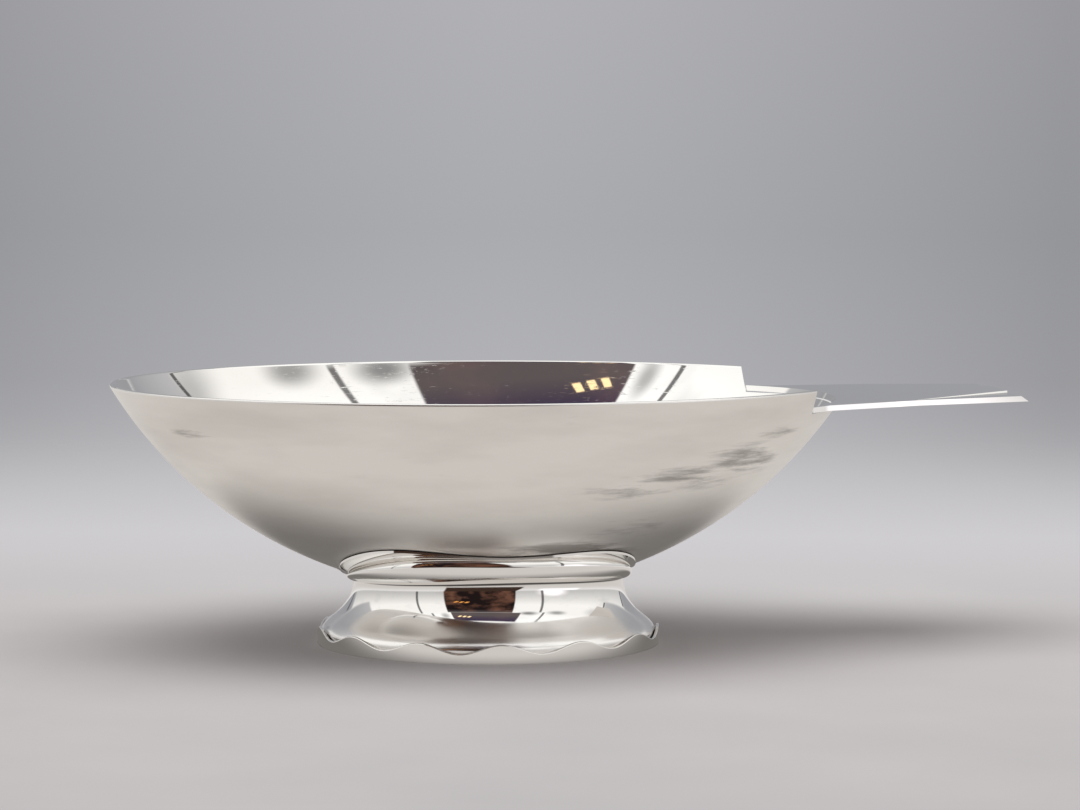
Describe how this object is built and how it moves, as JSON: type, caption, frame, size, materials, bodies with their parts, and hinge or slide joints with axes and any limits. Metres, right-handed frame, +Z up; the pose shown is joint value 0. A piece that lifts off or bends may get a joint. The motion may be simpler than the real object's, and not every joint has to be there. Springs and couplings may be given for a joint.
{
  "type": "sauce boat",
  "caption": "Oval silver sauce boat: open bowl on a waisted foot with a wavy ring, and a flat tapered handle plate let into the rim at one end.",
  "frame": {"origin": "middle of the whole outline seen from above, on the surface that the foot ring stands on", "axes": "+X along the long axis towards the handle, +Z up"},
  "size_m": [0.2527, 0.141, 0.0722],
  "materials": {
    "satin_silver": "satin silver, softly brushed, warm grey",
    "polished_silver": "mirror-polished silver with fine scratches"
  },
  "bodies": {
    "root": {"bowl": "satin_silver", "handle": "polished_silver", "foot_collar": "polished_silver", "foot_skirt": "polished_silver", "foot_ring": "polished_silver"}
  },
  "joints": []
}
